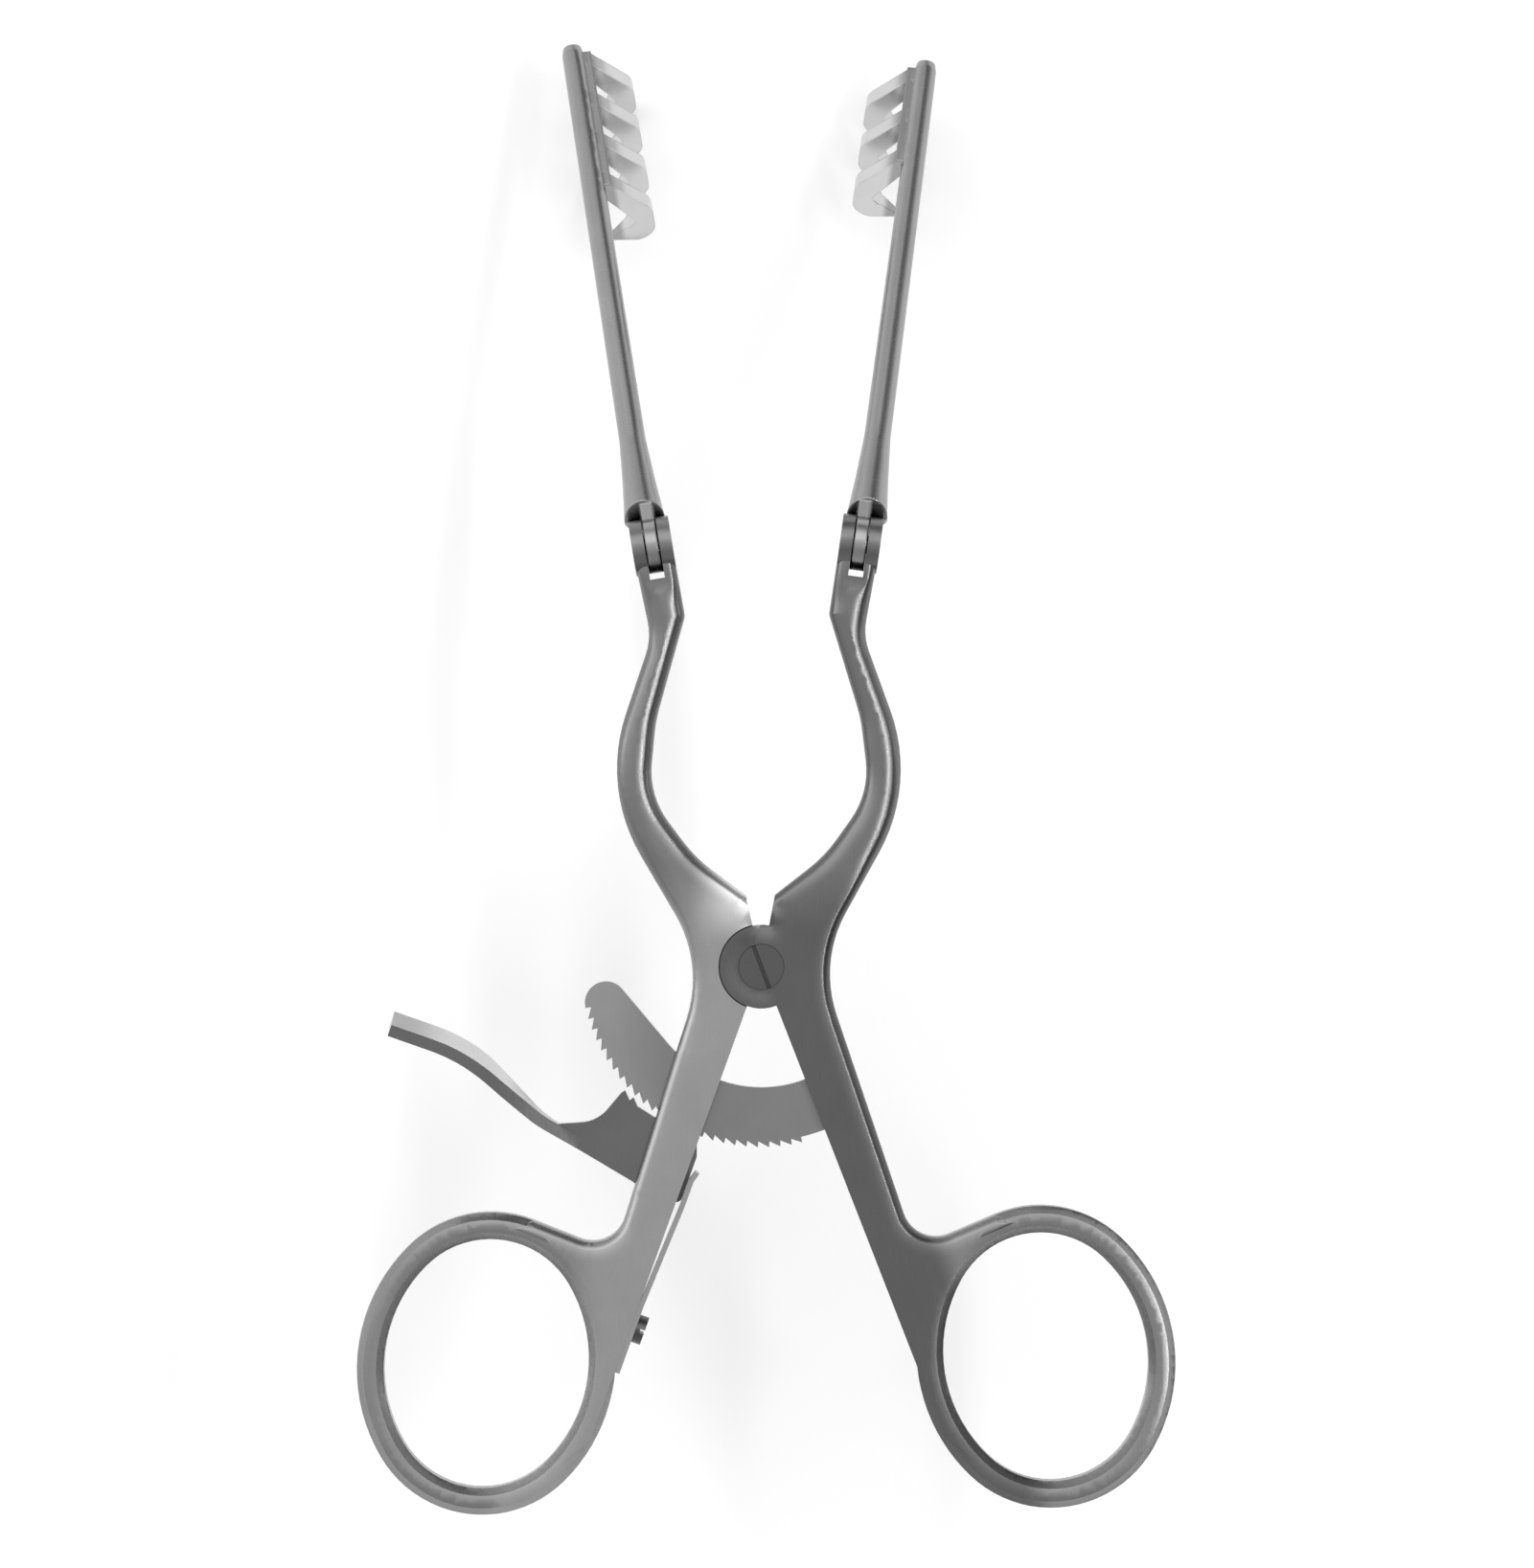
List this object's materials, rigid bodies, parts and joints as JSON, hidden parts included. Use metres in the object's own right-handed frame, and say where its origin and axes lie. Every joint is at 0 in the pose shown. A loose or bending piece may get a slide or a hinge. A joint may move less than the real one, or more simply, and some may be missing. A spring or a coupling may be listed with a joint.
{
  "type": "self retaining retractor",
  "caption": "Ring-handled self retaining retractor with a curved rack, a spring-loaded release lever and hinged blades with hooked prongs.",
  "frame": {"origin": "on the pivot's axis, in the flat back face of the lap joint", "axes": "+Z out of the front face, where the pivot screw has its head; +Y from the finger rings to the blades; +X to the right arm, which carries the rack"},
  "size_m": [0.0874, 0.161, 0.0431],
  "materials": {
    "arm_steel": "satin",
    "blade_steel": "satin",
    "rack_steel": "satin",
    "lever_steel": "satin",
    "spring_steel": "ground",
    "screw_steel": "turned",
    "pin_steel": "ground flush"
  },
  "bodies": {
    "left_side": {"left_arm": "arm_steel", "pivot_screw": "screw_steel", "left_hinge_pin": "pin_steel", "lever_pin": "pin_steel", "leaf_spring": "spring_steel", "spring_screw": "screw_steel"},
    "right_side": {"right_arm": "arm_steel", "ratchet_bar": "rack_steel", "ratchet_bar_rivet": "pin_steel", "right_hinge_pin": "pin_steel"},
    "left_blade": {"left_blade": "blade_steel"},
    "right_blade": {"right_blade": "blade_steel"},
    "release_lever": {"release_lever": "lever_steel"}
  },
  "joints": [
    {"name": "main_pivot", "type": "hinge", "parent": "left_side", "child": "right_side", "pos_m": [0, 0, 0.0021], "axis": [0, 0, 1], "range_deg": [-36, 18]},
    {"name": "left_blade_fold", "type": "hinge", "parent": "left_side", "child": "left_blade", "pos_m": [-0.0111, 0.0451, 0.0021], "axis": [0.989, 0.1478, 0], "range_deg": [-62, 28]},
    {"name": "right_blade_fold", "type": "hinge", "parent": "right_side", "child": "right_blade", "pos_m": [0.0111, 0.0451, 0.0021], "axis": [0.989, -0.1478, 0], "range_deg": [-62, 28]},
    {"name": "lever_press", "type": "hinge", "parent": "left_side", "child": "release_lever", "pos_m": [-0.00991, -0.0203, 0.0021], "axis": [0, 0, 1], "range_deg": [-5.5, 8], "stiffness_Nm_per_rad": 0.25, "springref_deg": -5.3, "deforming": ["leaf_spring"]}
  ]
}
